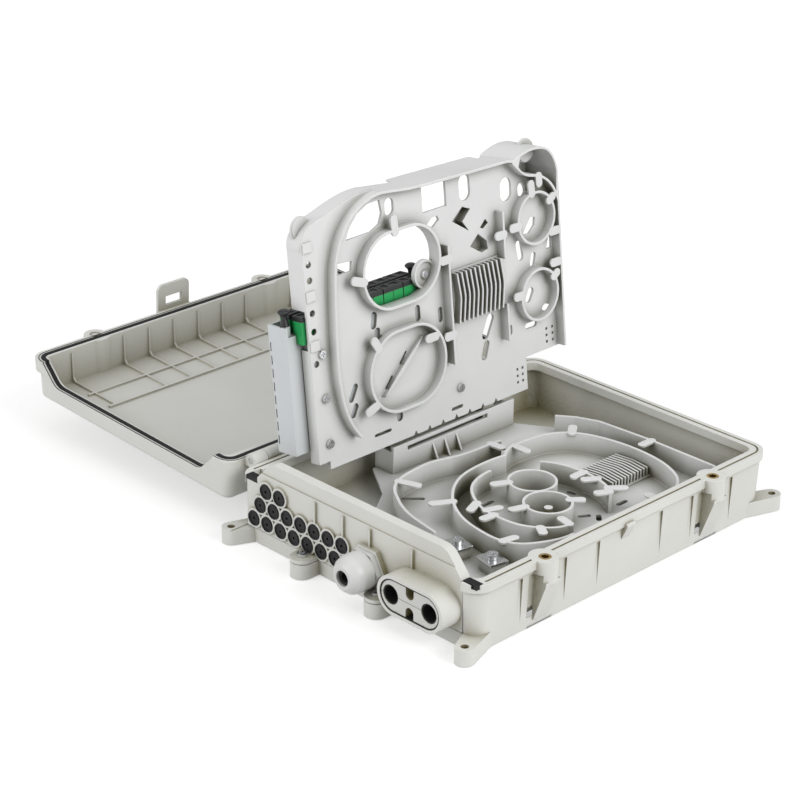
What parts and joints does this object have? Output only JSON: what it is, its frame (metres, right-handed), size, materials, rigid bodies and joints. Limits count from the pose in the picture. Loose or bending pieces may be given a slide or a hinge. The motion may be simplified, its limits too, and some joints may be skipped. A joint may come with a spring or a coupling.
{
  "type": "fibre distribution box",
  "caption": "Wall-mounted fibre distribution box with hinged lid, gasketed cable port plate, swing-up splice panel with adapter cassette and routed storage tray.",
  "frame": {"origin": "middle of the base's back face, which goes against the wall", "axes": "+Z out of the wall, -Y towards the cable ports, +X from the lid hinge towards the latch"},
  "size_m": [0.4843, 0.3351, 0.2322],
  "materials": {
    "housing": "fine textured moulding",
    "tray": "satin moulding",
    "cassette": "satin moulding",
    "insert": "satin moulding",
    "cap_plastic": "satin moulding",
    "rubber": "soft matte",
    "gland": "smooth nylon",
    "adapter": "satin",
    "black_plastic": "satin",
    "steel": "zinc plated",
    "brass": "turned"
  },
  "bodies": {
    "base": {"base_shell": "housing", "port_plate": "housing", "storage_tray": "tray", "tray_splice_comb": "tray", "panel_carrier": "tray", "port_plate_seal": "rubber", "drop_grommets": "rubber", "gland_seal": "rubber", "gland_body": "gland", "gland_locknut": "gland", "feeder_insert_upper": "insert", "feeder_insert_lower": "insert", "feeder_seal": "rubber", "feeder_sleeves": "rubber", "boss_inserts": "brass", "port_plate_screws": "steel", "clamp_blocks": "tray", "clamp_plates": "steel", "clamp_screws": "steel", "lid_hinge_pins": "steel", "panel_hinge_pins": "steel"},
    "lid": {"lid_shell": "housing", "lid_gasket": "rubber", "lid_screws": "cap_plastic"},
    "panel": {"splice_panel": "tray", "panel_splice_comb": "tray", "adapter_cassette": "cassette", "fibre_adapters": "adapter", "adapter_caps": "black_plastic", "panel_screws": "steel"},
    "gland_nut": {"gland_dome_nut": "gland"},
    "plunger_near": {"latch_plunger_near": "black_plastic"},
    "plunger_far": {"latch_plunger_far": "black_plastic"}
  },
  "joints": [
    {"name": "lid_hinge", "type": "hinge", "parent": "base", "child": "lid", "pos_m": [-0.12, 0, 0.05], "axis": [0, 1, 0], "range_deg": [0, 177.5]},
    {"name": "panel_hinge", "type": "hinge", "parent": "base", "child": "panel", "pos_m": [-0.08212, 0, 0.05355], "axis": [0, 1, 0], "range_deg": [0, 96.5]},
    {"name": "gland_nut_turn", "type": "hinge", "parent": "base", "child": "gland_nut", "pos_m": [0.016, -0.16, 0.0272], "axis": [0, -1, 0], "continuous": true},
    {"name": "plunger_near_slide", "type": "slide", "parent": "panel", "child": "plunger_near", "axis": [-0.1132, 0, 0.9936], "range_m": [0, 0.003], "stiffness_N_per_m": 200},
    {"name": "plunger_far_slide", "type": "slide", "parent": "panel", "child": "plunger_far", "axis": [-0.1132, 0, 0.9936], "range_m": [0, 0.003], "stiffness_N_per_m": 200}
  ],
  "couplings": [
    {"joint": "panel_hinge", "follows": "lid_hinge", "ratio": 0.54366}
  ]
}
